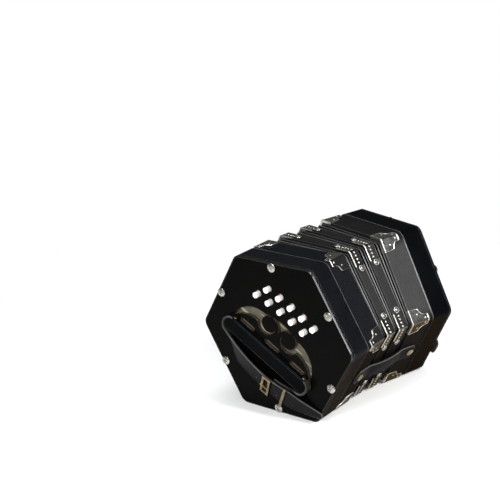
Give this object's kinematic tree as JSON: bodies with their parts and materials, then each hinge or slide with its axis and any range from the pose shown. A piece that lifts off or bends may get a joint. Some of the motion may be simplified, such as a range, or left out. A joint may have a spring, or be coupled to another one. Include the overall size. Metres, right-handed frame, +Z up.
{
  "type": "concertina",
  "caption": "Hexagonal two-row concertina with fretted black ends, round white buttons, hand rests with buckled straps and a fanned leather bellows that opens.",
  "frame": {"origin": "middle of the bounding box on the surface the instrument lies on", "axes": "+X from the left-hand end to the right-hand end, +Z up, +Y towards the side where the bellows fan open"},
  "size_m": [0.2148, 0.1892, 0.16],
  "materials": {
    "lacquer": "deep gloss black lacquer",
    "frame_leather": "fine black leather cloth",
    "bellows_leather": "black folded card with leather edges",
    "strap_leather": "smooth black strap leather",
    "nickel": "nickel plate",
    "brass": "dull brass",
    "spring_wire": "drawn wire",
    "pale_wood": "plain sanded wood",
    "lining_cloth": "thin tan cloth",
    "button": "white gloss"
  },
  "bodies": {
    "left_end": {"left_end_plate": "lacquer", "left_fret_lining": "lining_cloth", "left_action_box": "lacquer", "left_pad_board": "pale_wood", "left_lever_rack": "brass", "left_key_springs": "spring_wire", "left_reed_pan": "pale_wood", "left_reeds": "brass", "left_bellows_frame": "frame_leather", "left_corner_plates": "nickel", "left_end_bolts": "nickel", "left_hand_rest": "lacquer", "left_hand_strap": "strap_leather", "left_strap_fittings": "brass", "bellows_1": "bellows_leather", "bellows_strap": "strap_leather", "bellows_strap_fittings": "brass"},
    "mid_1": {"mid_frame_1": "frame_leather", "mid_corner_strips_1": "nickel", "bellows_2": "bellows_leather"},
    "mid_2": {"mid_frame_2": "frame_leather", "mid_corner_strips_2": "nickel", "bellows_3": "bellows_leather"},
    "right_end": {"right_end_plate": "lacquer", "right_fret_lining": "lining_cloth", "right_action_box": "lacquer", "right_pad_board": "pale_wood", "right_lever_rack": "brass", "right_key_springs": "spring_wire", "right_reed_pan": "pale_wood", "right_reeds": "brass", "right_bellows_frame": "frame_leather", "right_corner_plates": "nickel", "right_end_bolts": "nickel", "right_hand_rest": "lacquer", "right_hand_strap": "strap_leather", "right_strap_fittings": "brass", "right_air_spring": "spring_wire"},
    "left_key_01_body": {"left_key_01": "button"},
    "left_key_02_body": {"left_key_02": "button"},
    "left_key_03_body": {"left_key_03": "button"},
    "left_key_04_body": {"left_key_04": "button"},
    "left_key_05_body": {"left_key_05": "button"},
    "left_key_06_body": {"left_key_06": "button"},
    "left_key_07_body": {"left_key_07": "button"},
    "left_key_08_body": {"left_key_08": "button"},
    "left_key_09_body": {"left_key_09": "button"},
    "left_key_10_body": {"left_key_10": "button"},
    "right_key_01_body": {"right_key_01": "button"},
    "right_key_02_body": {"right_key_02": "button"},
    "right_key_03_body": {"right_key_03": "button"},
    "right_key_04_body": {"right_key_04": "button"},
    "right_key_05_body": {"right_key_05": "button"},
    "right_key_06_body": {"right_key_06": "button"},
    "right_key_07_body": {"right_key_07": "button"},
    "right_key_08_body": {"right_key_08": "button"},
    "right_key_09_body": {"right_key_09": "button"},
    "right_key_10_body": {"right_key_10": "button"},
    "air_button_body": {"right_air_button": "button"}
  },
  "joints": [
    {"name": "bellows_open_1", "type": "slide", "parent": "left_end", "child": "mid_1", "axis": [0.9959, 0.0906, 0], "range_m": [0, 0.04], "deforming": ["bellows_1"]},
    {"name": "bellows_open_2", "type": "slide", "parent": "mid_1", "child": "mid_2", "axis": [1, 0, 0], "range_m": [0, 0.04], "deforming": ["bellows_2"]},
    {"name": "bellows_open_3", "type": "slide", "parent": "mid_2", "child": "right_end", "axis": [0.9959, -0.0906, 0], "range_m": [0, 0.04], "deforming": ["bellows_3"]},
    {"name": "left_key_01_press", "type": "hinge", "parent": "left_end", "child": "left_key_01_body", "pos_m": [-0.08108, 0.03217, 0.09579], "axis": [-0.1175, 0.858, 0.5], "range_deg": [0, 4.38], "stiffness_Nm_per_rad": 0.15, "springref_deg": -11.46, "deforming": ["left_key_springs"]},
    {"name": "left_key_02_press", "type": "hinge", "parent": "left_end", "child": "left_key_02_body", "pos_m": [-0.08018, 0.02556, 0.09194], "axis": [-0.1175, 0.858, 0.5], "range_deg": [0, 3.12], "stiffness_Nm_per_rad": 0.15, "springref_deg": -11.46, "deforming": ["left_key_springs"]},
    {"name": "left_key_03_press", "type": "hinge", "parent": "left_end", "child": "left_key_03_body", "pos_m": [-0.07927, 0.01895, 0.08809], "axis": [-0.1175, 0.858, 0.5], "range_deg": [0, 4.12], "stiffness_Nm_per_rad": 0.15, "springref_deg": -11.46, "deforming": ["left_key_springs"]},
    {"name": "left_key_04_press", "type": "hinge", "parent": "left_end", "child": "left_key_04_body", "pos_m": [-0.07837, 0.01235, 0.08424], "axis": [-0.1175, 0.858, 0.5], "range_deg": [0, 3.02], "stiffness_Nm_per_rad": 0.15, "springref_deg": -11.46, "deforming": ["left_key_springs"]},
    {"name": "left_key_05_press", "type": "hinge", "parent": "left_end", "child": "left_key_05_body", "pos_m": [-0.07746, 0.00574, 0.08039], "axis": [-0.1175, 0.858, 0.5], "range_deg": [0, 4.01], "stiffness_Nm_per_rad": 0.15, "springref_deg": -11.46, "deforming": ["left_key_springs"]},
    {"name": "left_key_06_press", "type": "hinge", "parent": "left_end", "child": "left_key_06_body", "pos_m": [-0.07656, -0.00087, 0.07654], "axis": [-0.1175, 0.858, 0.5], "range_deg": [0, 2.99], "stiffness_Nm_per_rad": 0.15, "springref_deg": -11.46, "deforming": ["left_key_springs"]},
    {"name": "left_key_07_press", "type": "hinge", "parent": "left_end", "child": "left_key_07_body", "pos_m": [-0.07565, -0.00747, 0.07269], "axis": [-0.1175, 0.858, 0.5], "range_deg": [0, 4.01], "stiffness_Nm_per_rad": 0.15, "springref_deg": -11.46, "deforming": ["left_key_springs"]},
    {"name": "left_key_08_press", "type": "hinge", "parent": "left_end", "child": "left_key_08_body", "pos_m": [-0.07475, -0.01408, 0.06884], "axis": [-0.1175, 0.858, 0.5], "range_deg": [0, 3.02], "stiffness_Nm_per_rad": 0.15, "springref_deg": -11.46, "deforming": ["left_key_springs"]},
    {"name": "left_key_09_press", "type": "hinge", "parent": "left_end", "child": "left_key_09_body", "pos_m": [-0.07384, -0.02069, 0.06499], "axis": [-0.1175, 0.858, 0.5], "range_deg": [0, 4.12], "stiffness_Nm_per_rad": 0.15, "springref_deg": -11.46, "deforming": ["left_key_springs"]},
    {"name": "left_key_10_press", "type": "hinge", "parent": "left_end", "child": "left_key_10_body", "pos_m": [-0.07294, -0.02729, 0.06114], "axis": [-0.1175, 0.858, 0.5], "range_deg": [0, 3.12], "stiffness_Nm_per_rad": 0.15, "springref_deg": -11.46, "deforming": ["left_key_springs"]},
    {"name": "right_key_01_press", "type": "hinge", "parent": "right_end", "child": "right_key_01_body", "pos_m": [0.08108, 0.03217, 0.09579], "axis": [-0.1175, -0.858, -0.5], "range_deg": [0, 4.38], "stiffness_Nm_per_rad": 0.15, "springref_deg": -11.46, "deforming": ["right_key_springs"]},
    {"name": "right_key_02_press", "type": "hinge", "parent": "right_end", "child": "right_key_02_body", "pos_m": [0.08018, 0.02556, 0.09194], "axis": [-0.1175, -0.858, -0.5], "range_deg": [0, 3.12], "stiffness_Nm_per_rad": 0.15, "springref_deg": -11.46, "deforming": ["right_key_springs"]},
    {"name": "right_key_03_press", "type": "hinge", "parent": "right_end", "child": "right_key_03_body", "pos_m": [0.07927, 0.01895, 0.08809], "axis": [-0.1175, -0.858, -0.5], "range_deg": [0, 4.12], "stiffness_Nm_per_rad": 0.15, "springref_deg": -11.46, "deforming": ["right_key_springs"]},
    {"name": "right_key_04_press", "type": "hinge", "parent": "right_end", "child": "right_key_04_body", "pos_m": [0.07837, 0.01235, 0.08424], "axis": [-0.1175, -0.858, -0.5], "range_deg": [0, 3.02], "stiffness_Nm_per_rad": 0.15, "springref_deg": -11.46, "deforming": ["right_key_springs"]},
    {"name": "right_key_05_press", "type": "hinge", "parent": "right_end", "child": "right_key_05_body", "pos_m": [0.07746, 0.00574, 0.08039], "axis": [-0.1175, -0.858, -0.5], "range_deg": [0, 4.01], "stiffness_Nm_per_rad": 0.15, "springref_deg": -11.46, "deforming": ["right_key_springs"]},
    {"name": "right_key_06_press", "type": "hinge", "parent": "right_end", "child": "right_key_06_body", "pos_m": [0.07656, -0.00087, 0.07654], "axis": [-0.1175, -0.858, -0.5], "range_deg": [0, 2.99], "stiffness_Nm_per_rad": 0.15, "springref_deg": -11.46, "deforming": ["right_key_springs"]},
    {"name": "right_key_07_press", "type": "hinge", "parent": "right_end", "child": "right_key_07_body", "pos_m": [0.07565, -0.00747, 0.07269], "axis": [-0.1175, -0.858, -0.5], "range_deg": [0, 4.01], "stiffness_Nm_per_rad": 0.15, "springref_deg": -11.46, "deforming": ["right_key_springs"]},
    {"name": "right_key_08_press", "type": "hinge", "parent": "right_end", "child": "right_key_08_body", "pos_m": [0.07475, -0.01408, 0.06884], "axis": [-0.1175, -0.858, -0.5], "range_deg": [0, 3.02], "stiffness_Nm_per_rad": 0.15, "springref_deg": -11.46, "deforming": ["right_key_springs"]},
    {"name": "right_key_09_press", "type": "hinge", "parent": "right_end", "child": "right_key_09_body", "pos_m": [0.07384, -0.02069, 0.06499], "axis": [-0.1175, -0.858, -0.5], "range_deg": [0, 4.12], "stiffness_Nm_per_rad": 0.15, "springref_deg": -11.46, "deforming": ["right_key_springs"]},
    {"name": "right_key_10_press", "type": "hinge", "parent": "right_end", "child": "right_key_10_body", "pos_m": [0.07294, -0.02729, 0.06114], "axis": [-0.1175, -0.858, -0.5], "range_deg": [0, 3.12], "stiffness_Nm_per_rad": 0.15, "springref_deg": -11.46, "deforming": ["right_key_springs"]},
    {"name": "air_button_press", "type": "slide", "parent": "right_end", "child": "air_button_body", "axis": [-0.9907, 0.1357, 0], "range_m": [0, 0.003], "stiffness_N_per_m": 300, "springref_m": -0.004, "deforming": ["right_air_spring"]}
  ],
  "couplings": [
    {"joint": "bellows_open_2", "follows": "bellows_open_1", "ratio": 1},
    {"joint": "bellows_open_3", "follows": "bellows_open_1", "ratio": 1}
  ]
}
